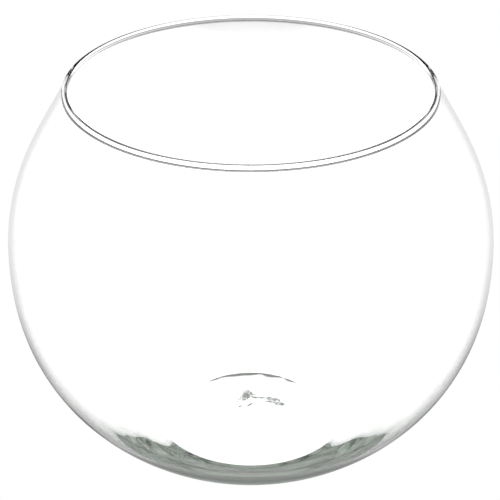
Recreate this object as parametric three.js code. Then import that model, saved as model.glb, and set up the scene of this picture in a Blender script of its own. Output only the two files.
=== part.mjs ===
// A blown glass ball vase with a wide open mouth, standing on a flat ring under its base.
// It is one piece of glass: the ball, its thick floor and the rounded lip are all the same gather.
// Lengths are in millimetres. Z is the axis of the vase, and the table that it stands on is z = 0.

import * as THREE from 'three';

// The ball, measured outside
const ballRadius = 125;        // at the widest circle
const bellyHeight = 112.6;     // of the widest circle above the table
const outerFullness = 2.2;     // of the curve under the belly: 2 is an ellipse, and more is squarer

// The mouth
const vaseHeight = 203.4;      // from the table to the top of the lip
const mouthRadius = 93.1;      // outside, over the lip
const lipSwell = 0.7;          // how far the fire-rounded lip stands proud of each face of the wall
const lipPeak = 1.95;          // height of the lip's upper half, which rises to a soft peak
const lipSharpness = 1.33;     // of that peak: 1 is round, and more is sharper
const neckTilt = 29.4;         // degrees between the wall just under the lip and the vertical

// The glass
const wallThickness = 1.6;     // from above the heel up to the lip
const heelHeight = 28;         // above the table, where the wall starts to thicken towards it
const heelGain = 6;            // how much thicker than that the side is at the table
const floorThickness = 8;      // from the table to the level floor inside
const floorFlatness = 16;      // of the corner round that floor: more is tighter

// The base
const kickRadius = 39.5;       // of the shallow hollow in the underside
const kickHeight = 2;           // of that hollow in its middle
const kickFullness = 3.5;      // of its dome: 2 is round, and more is flatter with a sharper edge
const restWidth = 10.5;        // of the flat ring that the vase stands on, outside the hollow

// Shape of the shoulder: each handle of its curve, as a share of its rise from belly to lip
const bellyHandle = 0.45;
const neckHandle = 0.37;

// How finely the round stretches are divided
const turnSteps = 72;
const bowlSteps = 16;
const shoulderSteps = 9;
const lipSteps = 5;            // on each side of the lip's top
const kickSteps = 5;

const restRadius = kickRadius + restWidth;
const lipRadius = wallThickness / 2 + lipSwell;
const tilt = THREE.MathUtils.degToRad(neckTilt);

// From the middle of the lip to its surface, at an angle round it. The whole lip leans with the wall.
function lipArm(angle) {
  const across = Math.cos(angle);
  const along = Math.sin(angle);
  const power = along > 0 ? lipSharpness : 1;
  const rise = along > 0 ? lipPeak : lipRadius;
  const arm = new THREE.Vector2(
    lipRadius * Math.sign(across) * Math.abs(across) ** power,
    rise * Math.sign(along) * Math.abs(along) ** power,
  );
  return arm.rotateAround(new THREE.Vector2(0, 0), tilt);
}

// The angle of the lip's highest point, and the lip's middle, which puts that point at the top.
const lipSteepness = lipPeak / lipRadius / Math.tan(tilt);
const lipTopAngle = Math.atan(lipSteepness ** (1 / (2 - lipSharpness)));
const lipCentre = new THREE.Vector2(mouthRadius - lipRadius, vaseHeight - lipArm(lipTopAngle).y);

// How deep the outside lies below the belly at a radius, as a share of its depth on the axis.
function outerShare(radius) {
  return (1 - (radius / ballRadius) ** 2) ** (1 / outerFullness);
}

// The outer curve would run deeper than the table, which cuts it off at the flat ring's edge.
const outerDepth = bellyHeight / outerShare(restRadius);

function outerPoint(radius) {
  return new THREE.Vector2(radius, bellyHeight - outerDepth * outerShare(radius));
}

// The inside, square to the outside at a radius. The wall thickens towards the table, and the level
// floor fills the bottom.
function innerPoint(radius) {
  const outside = outerPoint(radius);
  const share = outerShare(radius);
  const outward = new THREE.Vector2(
    (2 * radius) / ballRadius ** 2,
    (-outerFullness * share ** (outerFullness - 1)) / outerDepth,
  ).normalize();
  const lowness = Math.max(1 - outside.y / heelHeight, 0);
  const inside = outside.addScaledVector(outward, -wallThickness - heelGain * lowness ** 2);
  const side = Math.max(inside.y, 0) ** floorFlatness;
  inside.y = (side + floorThickness ** floorFlatness) ** (1 / floorFlatness);
  return inside;
}

// The hollow in the underside: a shallow dome from the axis to the flat ring. The points crowd
// towards its edge, where it bends most.
function kickPoints() {
  const points = [];
  for (let i = 0; i <= kickSteps; i += 1) {
    const share = Math.sqrt(i / kickSteps);
    points.push(new THREE.Vector2(kickRadius * share, kickHeight * (1 - share ** kickFullness)));
  }
  return points;
}

// The outside under the belly, from the edge of the flat ring up to the widest circle.
function outerBowlPoints() {
  const start = Math.acos(restRadius / ballRadius);
  const points = [];
  for (let i = 0; i < bowlSteps; i += 1) {
    points.push(outerPoint(ballRadius * Math.cos(start * (1 - i / bowlSteps))));
  }
  return points;
}

// The outside from the belly to the lip: upright at the belly and leaning in at the neck.
function shoulderCurve() {
  const along = new THREE.Vector2(-Math.sin(tilt), Math.cos(tilt));
  const outward = new THREE.Vector2(Math.cos(tilt), Math.sin(tilt));
  const top = lipCentre.clone().addScaledVector(outward, wallThickness / 2);
  const rise = top.y - bellyHeight;
  return new THREE.CubicBezierCurve(
    new THREE.Vector2(ballRadius, bellyHeight),
    new THREE.Vector2(ballRadius, bellyHeight + bellyHandle * rise),
    top.clone().addScaledVector(along, -neckHandle * rise),
    top,
  );
}

// Points up the shoulder, moved into the glass by an inset that is square to the curve.
function shoulderPoints(inset) {
  const curve = shoulderCurve();
  const points = [];
  for (let i = 0; i < shoulderSteps; i += 1) {
    const share = i / shoulderSteps;
    const tangent = curve.getTangent(share);
    const inward = new THREE.Vector2(-tangent.y, tangent.x);
    points.push(curve.getPoint(share).addScaledVector(inward, inset));
  }
  return points;
}

// The fire-rounded lip, from where it swells out of the outer face, over the top, to the inner face.
function lipPoints() {
  const wallAngle = Math.asin(wallThickness / 2 / lipRadius);
  const start = wallAngle - Math.PI / 2;
  const end = (3 * Math.PI) / 2 - wallAngle;
  const points = [];
  for (let i = 0; i <= 2 * lipSteps; i += 1) {
    const outside = Math.min(i, lipSteps) / lipSteps;
    const inside = Math.max(i - lipSteps, 0) / lipSteps;
    const angle = start + (lipTopAngle - start) * outside + (end - lipTopAngle) * inside;
    points.push(lipCentre.clone().add(lipArm(angle)));
  }
  return points;
}

// The hollow under the belly, from the widest circle down to the middle of the floor.
function innerBowlPoints() {
  const points = [];
  for (let i = 1; i < bowlSteps; i += 1) {
    points.push(innerPoint(ballRadius * Math.cos(((Math.PI / 2) * i) / bowlSteps)));
  }
  points.push(new THREE.Vector2(0, floorThickness));
  return points;
}

// One closed section through the glass, turned about the axis.
function glassBowl() {
  const section = [
    ...kickPoints(),
    ...outerBowlPoints(),
    ...shoulderPoints(0),
    ...lipPoints(),
    ...shoulderPoints(wallThickness).reverse(),
    ...innerBowlPoints(),
  ];
  const geometry = new THREE.LatheGeometry(section, turnSteps);
  geometry.rotateX(Math.PI / 2);
  const glass = new THREE.MeshStandardMaterial({
    color: 0xe9efec,
    roughness: 0.04,
    metalness: 0,
    transparent: true,
    opacity: 0.35,
  });
  const mesh = new THREE.Mesh(geometry, glass);
  mesh.name = 'glass_bowl';
  return mesh;
}

const vase = new THREE.Group();
vase.add(glassBowl());

export default vase;
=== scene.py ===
# A blown glass ball vase with a wide open mouth, in soft studio light on a plain pale floor.
# Lengths are in metres. Z is the axis of the vase, which stands on z = 0.

import math

import bpy
import numpy as np
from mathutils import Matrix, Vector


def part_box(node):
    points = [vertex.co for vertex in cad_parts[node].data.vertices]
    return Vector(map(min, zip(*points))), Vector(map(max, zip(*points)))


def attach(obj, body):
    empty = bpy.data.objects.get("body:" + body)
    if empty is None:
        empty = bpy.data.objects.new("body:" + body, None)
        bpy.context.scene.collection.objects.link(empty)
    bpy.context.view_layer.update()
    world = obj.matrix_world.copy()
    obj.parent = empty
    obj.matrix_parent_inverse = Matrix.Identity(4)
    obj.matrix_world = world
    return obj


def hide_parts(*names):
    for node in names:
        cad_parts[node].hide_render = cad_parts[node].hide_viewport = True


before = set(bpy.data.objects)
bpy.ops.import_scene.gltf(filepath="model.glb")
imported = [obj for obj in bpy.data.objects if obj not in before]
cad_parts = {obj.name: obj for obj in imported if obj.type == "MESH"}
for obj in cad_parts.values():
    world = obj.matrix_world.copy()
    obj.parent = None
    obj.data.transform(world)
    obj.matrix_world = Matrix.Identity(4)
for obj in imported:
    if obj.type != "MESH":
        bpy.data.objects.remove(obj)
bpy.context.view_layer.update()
bowl_low, bowl_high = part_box("glass_bowl")

MM = 0.001

# The ball, measured outside
BALL_RADIUS = (bowl_high.x - bowl_low.x) / 2
BELLY_HEIGHT = 112.6 * MM       # of the widest circle
OUTER_FULLNESS = 2.2            # of the curve under the belly: 2 is an ellipse, and more is squarer

# The mouth
VASE_HEIGHT = bowl_high.z
MOUTH_RADIUS = 93.1 * MM        # outside, over the lip
LIP_SWELL = 0.7 * MM            # how far the lip stands proud of each face of the wall
LIP_PEAK = 1.95 * MM            # height of the lip's upper half, which rises to a soft peak
LIP_SHARPNESS = 1.33            # of that peak: 1 is round, and more is sharper
NECK_TILT = math.radians(29.4)  # between the wall just under the lip and the vertical

# Each handle of the shoulder's curve, as a share of its rise from belly to lip
BELLY_HANDLE = 0.45
NECK_HANDLE = 0.37

# The glass
WALL = 1.6 * MM                 # from above the heel up to the lip
FLOOR_THICKNESS = 8 * MM
FLOOR_FLATNESS = 16             # of the corner round the inner floor: more is tighter
HEEL_HEIGHT = 28 * MM           # where the wall starts to thicken towards the table
HEEL_GAIN = 6 * MM              # how much thicker than the wall the side is at the table

# The base
KICK_RADIUS = 39.5 * MM         # of the shallow hollow in the underside
KICK_HEIGHT = 2 * MM            # of that hollow in its middle
KICK_FULLNESS = 3.5             # of its dome: 2 is round, and more is flatter with a sharper edge
REST_WIDTH = 10.5 * MM          # of the flat ring round the hollow
HEEL_ROUNDING = 2 * MM          # how far the ring's outer corner is rounded, to each side of it

# What the blowing left in the glass
HEEL_WAVE = 0.015 * MM          # height of the waves inside the heel
HEEL_WAVE_FADE = 2 * MM         # over which they grow above the inner floor
HEEL_WAVE_LENGTH = (4 * MM, 10 * MM)
KICK_WAVER = 0.06               # how uneven the hollow is at its edge, as a share of its height
KICK_WAVER_TURNS = (5, 23)      # waves in one turn: the least, and one more than the most
KICK_WAVER_FOCUS = 4            # more keeps the unevenness closer to the edge
WAVE_COUNT = 16
SEED = 7

# The scar in the hollow of the base, where the blower's rod was broken off: a rough patch with a tail.
# Each streak lists x and y of its two ends and its width, in millimetres, and how many chips it has.
SCAR_STREAKS = (
    (-5.0, 10.5, -1.0, 20.0, 4.6, 190),
    (-2.5, 13.0, 1.6, 17.5, 3.4, 90),
    (0.5, 14.0, 6.0, 12.5, 1.4, 40),
    (5.5, 13.5, 16.5, 10.5, 3.0, 130),
    (8.5, 9.5, 18.5, 6.5, 2.8, 120),
    (-6.6, 4.4, -5.2, 5.1, 0.6, 20),
    (-2.4, 4.6, 0.8, 7.4, 0.7, 40),
)
STREAK_DEVIATIONS = 3           # standard deviations of the chips' scatter in a streak's width
CHIP_LENGTH = (0.5 * MM, 1.4 * MM)
CHIP_WIDTH = (0.35, 0.7)        # as a share of its length
CHIP_DEPTH = 0.1 * MM
CHIP_SIDES = 7
CHIP_TIPS = 2
SCAR_GAP = 0.02 * MM            # between the chips and the glass above them

# The broken glass of the chips
CHIP_GRAIN = 1200
CHIP_GRAIN_DETAIL = 2
CHIP_TONES = (0.3, 0.7)         # where in the grain the dark and the light colour are reached
CHIP_DARK = (0.15, 0.175, 0.16, 1)
CHIP_LIGHT = (0.48, 0.54, 0.5, 1)
CHIP_ROUGHNESS = (0.3, 0.7)

# The clear glass
GLASS_IOR = 1.52
GLASS_TINT = (0.42, 0.56, 0.42, 1)
TINT_DENSITY = 12
FILM_SCALE = 30
FILM_DETAIL = 1
FILM_ROUGHNESS = (0, 0.012)     # where the film is thinnest and where it is thickest
RIPPLE_SCALE = 22
RIPPLE_DETAIL = 0
RIPPLE_HEIGHT = 0.04 * MM

# How finely the glass is divided
TURN_STEPS = 256
KICK_STEPS = 60
HEEL_STEPS = 8
BOWL_STEPS = 60
SHOULDER_STEPS = 44
LIP_STEPS = 41
INNER_STEPS = 240               # points of the inside's curve under the belly
INNER_STRIDE = 3                # the mesh takes one in so many of them
FLOOR_REACH = 30 * MM           # inside this radius the inner floor is divided by even steps
FLOOR_STEP = 2 * MM

# The studio floor
FLOOR_RADIUS = 6
FLOOR_SIDES = 64
FLOOR_DROP = 0.2 * MM           # under the vase

# How bright the floor and the sky look, by the way that a ray came to them
BACKDROP = 1.01                 # straight from the camera: only just over full white
BRIGHT = 1.9                    # at their brightest through the glass
ONE_WALL = 2                    # surfaces that a ray passes in one wall of the vase

# The floor's brightness at distances from the axis in millimetres, up to the reach of its ramps:
# through one wall, through both, mirrored outside the glass, and mirrored after entering it.
# Through the glass the glow dims far off. The two mirrored ramps hold a painted shade: the floor
# under and round the vase is painted dark there, a painted shadow of the vase seen only in reflections.
RAMP_REACH = 1500
FLOOR_THROUGH = ((0, BRIGHT), (485, BRIGHT), (665, 0.5))
FLOOR_BEYOND = ((0, BRIGHT), (1200, BRIGHT), (1400, 0.5))
# Painted shade for reflections off the outside of the glass: dim under the vase, dark from 95 to 150 mm
EDGE_FLOOR_PAINTED_SHADE = ((0, 0.45), (85, 0.45), (95, 0.05), (150, 0.05), (210, 0.6), (240, 0.66), (320, 0.78))
# Painted shade for light mirrored inside the glass: dim under the base, dark from 67 to 80 mm under the
# belly
INNER_FLOOR_PAINTED_SHADE = (
    (0, 0.5), (60, 0.3), (67, 0.01), (80, 0.01),
    (88, 0.8), (125, 1.0), (200, 0.8), (260, 0.9),
)

# The sky's brightness at elevations in degrees: through the glass, and mirrored by it
SKY_THROUGH = ((0, 0.03), (28, 0.03), (32, BRIGHT))
SKY_MIRRORED = ((0, 0.05), (25, 0.05), (40, 1.0), (90, 1.0))

# The camera, at the photograph's place
CAMERA_REACH = 812.5 * MM       # from the middle of the vase at its widest circle
CAMERA_ELEVATION = math.radians(29.29)
CAMERA_PITCH = math.radians(29.55)
FOCAL_PIXELS = 1558.6           # focal length, in the photograph's pixels
AXIS_PIXEL = 250.9              # column of the photograph that the axis falls on
PHOTO_SIZE = 500
SENSOR = 36                     # width in millimetres, to turn pixels into a focal length

LIGHT_BOUNCES = 64
WHITE = (1, 1, 1, 1)
BLACK = (0, 0, 0, 1)

LIP_RADIUS = WALL / 2 + LIP_SWELL
REST_RADIUS = KICK_RADIUS + REST_WIDTH


def column(radii, heights):
    """Points of the section, one (radius, height) in each row."""
    return np.column_stack((radii, heights))


def kick_height(radius):
    """Height of the shallow hollow in the underside."""
    return KICK_HEIGHT * (1 - (radius / KICK_RADIUS) ** KICK_FULLNESS)


def kick_points():
    """The hollow in the underside, from the axis to the flat ring."""
    radii = KICK_RADIUS * np.sqrt(np.linspace(0, 1, KICK_STEPS))
    return column(radii, kick_height(radii))


def outer_rise(radius):
    """Depth of the outside under the belly at a radius, as a share of its greatest depth."""
    across = np.minimum(radius / BALL_RADIUS, 1)
    return (1 - across ** 2) ** (1 / OUTER_FULLNESS)


def outer_depth():
    """How deep the outer curve would run if the table did not cut it off at the ring."""
    return BELLY_HEIGHT / outer_rise(REST_RADIUS)


def outer_height(radius):
    """Height of the outside under the belly at a radius."""
    return BELLY_HEIGHT - outer_depth() * outer_rise(radius)


def heel_points():
    """The rounded corner between the flat ring and the side of the bowl."""
    inside = REST_RADIUS - HEEL_ROUNDING
    outside = REST_RADIUS + HEEL_ROUNDING
    share = np.linspace(0, 1, HEEL_STEPS)
    radii = (1 - share) ** 2 * inside + 2 * share * (1 - share) * REST_RADIUS + share ** 2 * outside
    return column(radii, share ** 2 * outer_height(outside))


def outer_bowl_points():
    """The outside from the heel up to the widest circle."""
    start = math.acos((REST_RADIUS + HEEL_ROUNDING) / BALL_RADIUS)
    radii = BALL_RADIUS * np.cos(start * (1 - np.arange(1, BOWL_STEPS) / BOWL_STEPS))
    return column(radii, outer_height(radii))


def lip_arms(angles):
    """From the middle of the lip to its surface: a round lower half, and one that rises to a peak."""
    across = np.cos(angles)
    along = np.sin(angles)
    power = np.where(along > 0, LIP_SHARPNESS, 1)
    rise = np.where(along > 0, LIP_PEAK, LIP_RADIUS)
    across = LIP_RADIUS * np.sign(across) * np.abs(across) ** power
    along = rise * np.sign(along) * np.abs(along) ** power
    return column(
        across * math.cos(NECK_TILT) - along * math.sin(NECK_TILT),
        across * math.sin(NECK_TILT) + along * math.cos(NECK_TILT),
    )


def lip_centre():
    """The middle of the lip, placed so that the lip's highest point is the top of the vase."""
    steepness = LIP_PEAK / LIP_RADIUS / math.tan(NECK_TILT)
    top = math.atan(steepness ** (1 / (2 - LIP_SHARPNESS)))
    return np.array((MOUTH_RADIUS - LIP_RADIUS, VASE_HEIGHT - lip_arms(np.array([top]))[0, 1]))


def shoulder_points(inset):
    """Points up the shoulder, moved into the glass by an inset that is square to the curve."""
    along = np.array((-math.sin(NECK_TILT), math.cos(NECK_TILT)))
    outward = np.array((math.cos(NECK_TILT), math.sin(NECK_TILT)))
    belly = np.array((BALL_RADIUS, BELLY_HEIGHT))
    top = lip_centre() + outward * WALL / 2
    rise = top[1] - BELLY_HEIGHT
    low_handle = belly + (0, BELLY_HANDLE * rise)
    high_handle = top - along * NECK_HANDLE * rise
    share = np.linspace(0, 1, SHOULDER_STEPS, endpoint=False)[:, None]
    rest = 1 - share
    point = (
        rest ** 3 * belly
        + 3 * rest ** 2 * share * low_handle
        + 3 * rest * share ** 2 * high_handle
        + share ** 3 * top
    )
    slope = (
        rest ** 2 * (low_handle - belly)
        + 2 * rest * share * (high_handle - low_handle)
        + share ** 2 * (top - high_handle)
    )
    slope /= np.linalg.norm(slope, axis=1)[:, None]
    return point + inset * column(-slope[:, 1], slope[:, 0])


def lip_points():
    """The swollen lip, from the outer face, over its peak, to the inner face."""
    wall_angle = math.asin(WALL / 2 / LIP_RADIUS)
    angles = np.linspace(wall_angle - math.pi / 2, 3 * math.pi / 2 - wall_angle, LIP_STEPS)
    return lip_centre() + lip_arms(angles)


def inner_curve(radii):
    """The inside under the belly, square to points of the outside at some radii.

    The wall thickens towards the table, and a level floor fills the bottom with a soft corner.
    """
    depth = outer_depth()
    height = outer_height(radii)
    drop = BELLY_HEIGHT - height
    outward = column(
        2 * (radii / BALL_RADIUS) / BALL_RADIUS,
        -OUTER_FULLNESS * (drop / depth) ** (OUTER_FULLNESS - 1) / depth,
    )
    outward /= np.linalg.norm(outward, axis=1)[:, None]
    lowness = np.maximum(1 - height / HEEL_HEIGHT, 0)
    wall = WALL + HEEL_GAIN * lowness ** 2
    point = column(radii, height) - wall[:, None] * outward
    floor = FLOOR_THICKNESS ** FLOOR_FLATNESS
    point[:, 1] = (point[:, 1] ** FLOOR_FLATNESS + floor) ** (1 / FLOOR_FLATNESS)
    return point


def inner_bowl_points():
    """The inside from under the belly down to the middle of the floor."""
    angle = np.linspace(0, math.pi / 2, INNER_STEPS)
    curve = inner_curve(BALL_RADIUS * np.cos(angle))
    side = curve[INNER_STRIDE::INNER_STRIDE]
    side = side[side[:, 0] > FLOOR_REACH]
    radii = np.append(np.arange(FLOOR_REACH, 0, -FLOOR_STEP), 0)
    floor = column(radii, np.interp(radii, curve[::-1, 0], curve[::-1, 1]))
    return np.concatenate((side, floor))


def outside_points():
    """The outer half of the section, from the axis under the base to the inner edge of the lip."""
    return np.concatenate((
        kick_points(),
        heel_points(),
        outer_bowl_points(),
        shoulder_points(0),
        lip_points(),
    ))


def inside_points():
    """The inner half of the section, from under the lip to the axis on the floor."""
    return np.concatenate((shoulder_points(WALL)[::-1], inner_bowl_points()))


def turned(section):
    """Points of the section at each step of a turn about the axis: steps, points, coordinates."""
    angle = np.arange(TURN_STEPS) * 2 * math.pi / TURN_STEPS
    x = np.cos(angle)[:, None] * section[:, 0]
    y = np.sin(angle)[:, None] * section[:, 0]
    z = np.broadcast_to(section[:, 1], x.shape)
    return np.stack((x, y, z), axis=-1)


def ripples(along, rates):
    """Waves at some rates, added up to about 1 high."""
    phases = np.random.default_rng(SEED).uniform(0, 2 * math.pi, len(rates))
    waves = [np.sin(along * rate + phase) for rate, phase in zip(rates, phases)]
    return np.sum(waves, axis=0) / math.sqrt(len(waves) / 2)


def waver_kick(points):
    """Makes the hollow in the underside a little uneven round its edge."""
    radius = np.hypot(points[..., 0], points[..., 1])
    angle = np.arctan2(points[..., 1], points[..., 0])
    turns = np.random.default_rng(SEED).integers(*KICK_WAVER_TURNS, WAVE_COUNT)
    waver = KICK_WAVER * ripples(angle, turns)
    inside = radius < KICK_RADIUS
    points[..., 2] *= 1 + np.where(inside, waver * (radius / KICK_RADIUS) ** KICK_WAVER_FOCUS, 0)


def wave_heel(points):
    """Waves the inside of the heel in rings round the vase, in and out of the glass."""
    height = points[..., 2]
    rates = 2 * math.pi / np.random.default_rng(SEED).uniform(*HEEL_WAVE_LENGTH, WAVE_COUNT)
    above = height - FLOOR_THICKNESS
    share = np.clip(above / HEEL_WAVE_FADE, 0, 1) * np.clip(1 - above / HEEL_HEIGHT, 0, 1)
    wave = HEEL_WAVE * share * ripples(height, rates)
    inward = np.array((0, 0, BELLY_HEIGHT)) - points
    inward /= np.linalg.norm(inward, axis=-1)[..., None]
    points += wave[..., None] * inward


def closed_mesh(name, points):
    """A closed mesh from the turned section. Its two points on the axis come first."""
    rim = points[:, 1:-1]
    rows = rim.shape[1]
    vertices = np.concatenate((points[:1, 0], points[:1, -1], rim.reshape(-1, 3)))
    faces = []
    for turn in range(TURN_STEPS):
        here = 2 + turn * rows
        there = 2 + (turn + 1) % TURN_STEPS * rows
        faces.append((0, there, here))
        faces.extend(
            (here + row, there + row, there + row + 1, here + row + 1) for row in range(rows - 1)
        )
        faces.append((1, here + rows - 1, there + rows - 1))
    mesh = bpy.data.meshes.new(name)
    mesh.from_pydata(vertices.tolist(), [], faces)
    mesh.update()
    mesh.shade_smooth()
    return mesh


def bowl_mesh():
    """The glass from its underside over the lip to its inner floor, with its slight unevenness."""
    outside = turned(outside_points())
    waver_kick(outside)
    inside = turned(inside_points())
    wave_heel(inside)
    return closed_mesh("blown_glass_bowl", np.concatenate((outside, inside), axis=1))


def chip(rng, x, y):
    """Points of one flat chip of glass under the hollow: its two tips, then the edge round them."""
    long = rng.uniform(*CHIP_LENGTH) / 2
    wide = long * rng.uniform(*CHIP_WIDTH)
    heading = rng.uniform(0, math.pi)
    top = kick_height(math.hypot(x, y)) - SCAR_GAP
    points = [(x, y, top), (x, y, top - CHIP_DEPTH)]
    for i in range(CHIP_SIDES):
        angle = 2 * math.pi * i / CHIP_SIDES
        along = long * math.cos(angle)
        across = wide * math.sin(angle)
        points.append((
            x + along * math.cos(heading) - across * math.sin(heading),
            y + along * math.sin(heading) + across * math.cos(heading),
            top - CHIP_DEPTH / 2,
        ))
    return points


def chip_faces(first):
    """Faces of the chip whose points start at a number: from its edge to its two tips."""
    edge = first + CHIP_TIPS
    faces = []
    for i in range(CHIP_SIDES):
        here = edge + i
        there = edge + (i + 1) % CHIP_SIDES
        faces += [(first, here, there), (first + 1, there, here)]
    return faces


def scar_mesh():
    """Chips scattered along the streaks of the scar."""
    rng = np.random.default_rng(SEED)
    vertices = []
    faces = []
    for x0, y0, x1, y1, width, count in SCAR_STREAKS:
        scatter = width / STREAK_DEVIATIONS
        for share in rng.uniform(0, 1, count):
            x = (x0 + share * (x1 - x0) + rng.normal(0, scatter)) * MM
            y = (y0 + share * (y1 - y0) + rng.normal(0, scatter)) * MM
            faces += chip_faces(len(vertices))
            vertices += chip(rng, x, y)
    mesh = bpy.data.meshes.new("rod_scar")
    mesh.from_pydata(vertices, [], faces)
    return mesh


def new_material(name):
    """A material with one Principled surface."""
    material = bpy.data.materials.new(name)
    material.use_nodes = True
    return material


def noise(tree, scale, detail):
    """A node output that wanders between 0 and 1 from place to place."""
    place = tree.nodes.new("ShaderNodeTexCoord")
    wander = tree.nodes.new("ShaderNodeTexNoise")
    wander.inputs["Scale"].default_value = scale
    wander.inputs["Detail"].default_value = detail
    tree.links.new(place.outputs["Object"], wander.inputs["Vector"])
    return wander.outputs["Fac"]


def between(tree, value, ends):
    """A node output that runs from one end to the other as a value runs from 0 to 1."""
    span = tree.nodes.new("ShaderNodeMapRange")
    span.inputs["To Min"].default_value = ends[0]
    span.inputs["To Max"].default_value = ends[1]
    tree.links.new(value, span.inputs["Value"])
    return span.outputs["Result"]


def blown_ripple(tree):
    """A node output for the surface's normal, bent by a slight unevenness of the glass."""
    bump = tree.nodes.new("ShaderNodeBump")
    bump.inputs["Distance"].default_value = RIPPLE_HEIGHT
    tree.links.new(noise(tree, RIPPLE_SCALE, RIPPLE_DETAIL), bump.inputs["Height"])
    return bump.outputs["Normal"]


def tinted_body(tree):
    """The grey-green that light takes on in thick glass."""
    body = tree.nodes.new("ShaderNodeVolumeAbsorption")
    body.inputs["Color"].default_value = GLASS_TINT
    body.inputs["Density"].default_value = TINT_DENSITY
    return body.outputs["Volume"]


def clear_glass():
    """Clear glass, a little grey-green through its thickness, with a faint film and a faint ripple."""
    material = new_material("clear_glass")
    tree = material.node_tree
    glass = tree.nodes["Principled BSDF"]
    glass.inputs["Base Color"].default_value = WHITE
    glass.inputs["IOR"].default_value = GLASS_IOR
    glass.inputs["Transmission Weight"].default_value = 1
    film = noise(tree, FILM_SCALE, FILM_DETAIL)
    tree.links.new(between(tree, film, FILM_ROUGHNESS), glass.inputs["Roughness"])
    tree.links.new(blown_ripple(tree), glass.inputs["Normal"])
    tree.links.new(tinted_body(tree), tree.nodes["Material Output"].inputs["Volume"])
    return material


def broken_glass():
    """The rough, grey-green face of broken glass, uneven from chip to chip."""
    material = new_material("broken_glass")
    tree = material.node_tree
    surface = tree.nodes["Principled BSDF"]
    surface.inputs["IOR"].default_value = GLASS_IOR
    grain = noise(tree, CHIP_GRAIN, CHIP_GRAIN_DETAIL)
    tone = tree.nodes.new("ShaderNodeValToRGB")
    for mark, place, colour in zip(tone.color_ramp.elements, CHIP_TONES, (CHIP_DARK, CHIP_LIGHT)):
        mark.position = place
        mark.color = colour
    tree.links.new(grain, tone.inputs[0])
    tree.links.new(tone.outputs["Color"], surface.inputs["Base Color"])
    tree.links.new(between(tree, grain, CHIP_ROUGHNESS), surface.inputs["Roughness"])
    return material


def placed(name, mesh, material):
    """A new object in the scene, of a mesh in one material."""
    mesh.materials.append(material)
    thing = bpy.data.objects.new(name, mesh)
    bpy.context.scene.collection.objects.link(thing)
    return thing


def glass_bowl():
    """The whole vase: one piece of blown glass."""
    bowl = placed("blown_glass_bowl", bowl_mesh(), clear_glass())
    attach(bowl, "root")
    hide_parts("glass_bowl")


def rod_scar():
    """The scar of the blower's rod, as chips of broken glass close under the hollow."""
    scar = placed("rod_scar", scar_mesh(), broken_glass())
    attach(scar, "root")


def ramp(tree, value, stops):
    """Brightness by a value, from a list of rising places between 0 and 1 and the levels there."""
    node = tree.nodes.new("ShaderNodeValToRGB")
    tree.links.new(value, node.inputs[0])
    marks = node.color_ramp.elements
    for i, (place, level) in enumerate(stops):
        mark = marks[i] if i < len(marks) else marks.new(place)
        mark.position = place
        mark.color = (level, level, level, 1)
    return node.outputs["Color"]


def constant(tree, number):
    """A node output that is one number everywhere."""
    node = tree.nodes.new("ShaderNodeValue")
    node.outputs["Value"].default_value = number
    return node.outputs["Value"]


def more_than(tree, value, least):
    """A node output that is 1 where a value is more than the least one, and 0 elsewhere."""
    compare = tree.nodes.new("ShaderNodeMath")
    compare.operation = "GREATER_THAN"
    compare.inputs[1].default_value = least
    tree.links.new(value, compare.inputs[0])
    return compare.outputs[0]


def chosen(tree, factor, first, second):
    """The first of two node outputs where the factor is 0, and the second where it is 1."""
    mix = tree.nodes.new("ShaderNodeMix")
    mix.data_type = "FLOAT"
    tree.links.new(factor, mix.inputs["Factor"])
    tree.links.new(first, mix.inputs["A"])
    tree.links.new(second, mix.inputs["B"])
    return mix.outputs["Result"]


def axis_distance(tree):
    """A node output for the distance from the axis, as a share of the reach of the floor's ramps."""
    place = tree.nodes.new("ShaderNodeNewGeometry")
    distance = tree.nodes.new("ShaderNodeVectorMath")
    distance.operation = "LENGTH"
    tree.links.new(place.outputs["Position"], distance.inputs[0])
    share = tree.nodes.new("ShaderNodeMath")
    share.operation = "DIVIDE"
    share.inputs[1].default_value = RAMP_REACH * MM
    tree.links.new(distance.outputs["Value"], share.inputs[0])
    return share.outputs[0]


def floor_ramp(tree, distance, stops):
    """Brightness of the floor, from a list of distances in millimetres and levels."""
    return ramp(tree, distance, [(place / RAMP_REACH, level) for place, level in stops])


def floor_brightness(tree):
    """How bright the floor looks to each kind of ray, at each distance from the axis, with a painted
    shade under and round the vase in the glass's reflections.
    """
    distance = axis_distance(tree)
    through = floor_ramp(tree, distance, FLOOR_THROUGH)
    beyond = floor_ramp(tree, distance, FLOOR_BEYOND)
    # the floor with a painted shade under and round the vase, as mirrored by the outside of the glass
    edge = floor_ramp(tree, distance, EDGE_FLOOR_PAINTED_SHADE)
    # the floor with a painted shade under the belly, as mirrored inside the glass
    inner = floor_ramp(tree, distance, INNER_FLOOR_PAINTED_SHADE)
    path = tree.nodes.new("ShaderNodeLightPath")
    entered = more_than(tree, path.outputs["Transmission Depth"], 0)
    both_walls = more_than(tree, path.outputs["Transmission Depth"], ONE_WALL)
    mirrored = more_than(tree, path.outputs["Glossy Depth"], 0)
    behind = chosen(tree, both_walls, through, beyond)
    straight = chosen(tree, path.outputs["Is Camera Ray"], behind, constant(tree, BACKDROP))
    reflected = chosen(tree, entered, edge, inner)
    return chosen(tree, mirrored, straight, reflected)


def pale_floor():
    """A floor that glows evenly white for the camera, and unevenly in the glass and its reflections,
    where a painted shade darkens it under and round the vase.
    """
    material = new_material("pale_floor")
    tree = material.node_tree
    surface = tree.nodes["Principled BSDF"]
    surface.inputs["Base Color"].default_value = BLACK
    surface.inputs["Specular IOR Level"].default_value = 0
    surface.inputs["Emission Color"].default_value = WHITE
    tree.links.new(floor_brightness(tree), surface.inputs["Emission Strength"])
    return material


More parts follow.
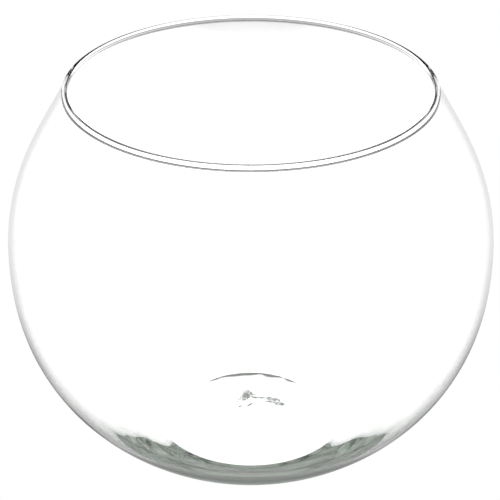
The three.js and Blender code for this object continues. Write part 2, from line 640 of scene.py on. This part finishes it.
def disc_mesh():
    """A wide disc close under the vase."""
    turns = [2 * math.pi * i / FLOOR_SIDES for i in range(FLOOR_SIDES)]
    ring = [(FLOOR_RADIUS * math.cos(a), FLOOR_RADIUS * math.sin(a), -FLOOR_DROP) for a in turns]
    mesh = bpy.data.meshes.new("studio_floor")
    mesh.from_pydata(ring, [], [tuple(range(FLOOR_SIDES))])
    return mesh


def studio_floor():
    """The floor under the vase."""
    floor = placed("studio_floor", disc_mesh(), pale_floor())


def sky_ramp(tree, height, stops):
    """Brightness of the sky by its height, from a list of elevations in degrees and levels."""
    return ramp(tree, height, [(math.sin(math.radians(high)), level) for high, level in stops])


def sky_brightness(tree):
    """How bright the sky looks to each kind of ray, at each elevation."""
    place = tree.nodes.new("ShaderNodeTexCoord")
    split = tree.nodes.new("ShaderNodeSeparateXYZ")
    tree.links.new(place.outputs["Generated"], split.inputs[0])
    through = sky_ramp(tree, split.outputs["Z"], SKY_THROUGH)
    reflected = sky_ramp(tree, split.outputs["Z"], SKY_MIRRORED)
    path = tree.nodes.new("ShaderNodeLightPath")
    mirrored = more_than(tree, path.outputs["Glossy Depth"], 0)
    straight = chosen(tree, path.outputs["Is Camera Ray"], through, constant(tree, BACKDROP))
    return chosen(tree, mirrored, straight, reflected)


def soft_sky():
    """A studio that is evenly white for the camera. The glass shows and mirrors it dark low down."""
    world = bpy.data.worlds.new("studio")
    bpy.context.scene.world = world
    world.use_nodes = True
    tree = world.node_tree
    background = tree.nodes["Background"]
    background.inputs["Color"].default_value = WHITE
    tree.links.new(sky_brightness(tree), background.inputs["Strength"])


def camera():
    """The camera, as high and as far off as the one that took the photograph."""
    data = bpy.data.cameras.new("camera")
    data.sensor_width = SENSOR
    data.lens = SENSOR * FOCAL_PIXELS / PHOTO_SIZE
    data.shift_x = (PHOTO_SIZE / 2 - AXIS_PIXEL) / PHOTO_SIZE
    seen = bpy.data.objects.new("camera", data)
    seen.location = (
        0,
        -CAMERA_REACH * math.cos(CAMERA_ELEVATION),
        BELLY_HEIGHT + CAMERA_REACH * math.sin(CAMERA_ELEVATION),
    )
    seen.rotation_euler = (math.pi / 2 - CAMERA_PITCH, 0, 0)
    bpy.context.scene.collection.objects.link(seen)
    bpy.context.scene.camera = seen


def light_paths():
    """Enough bounces for light that is caught in the glass to find its way out."""
    cycles = bpy.context.scene.cycles
    cycles.max_bounces = LIGHT_BOUNCES
    cycles.glossy_bounces = LIGHT_BOUNCES
    cycles.transmission_bounces = LIGHT_BOUNCES
    cycles.transparent_max_bounces = LIGHT_BOUNCES


def plain_tones():
    """Shows full white as white, without a film-like curve."""
    bpy.context.scene.view_settings.view_transform = "Standard"


glass_bowl()
rod_scar()
studio_floor()
soft_sky()
camera()
light_paths()
plain_tones()
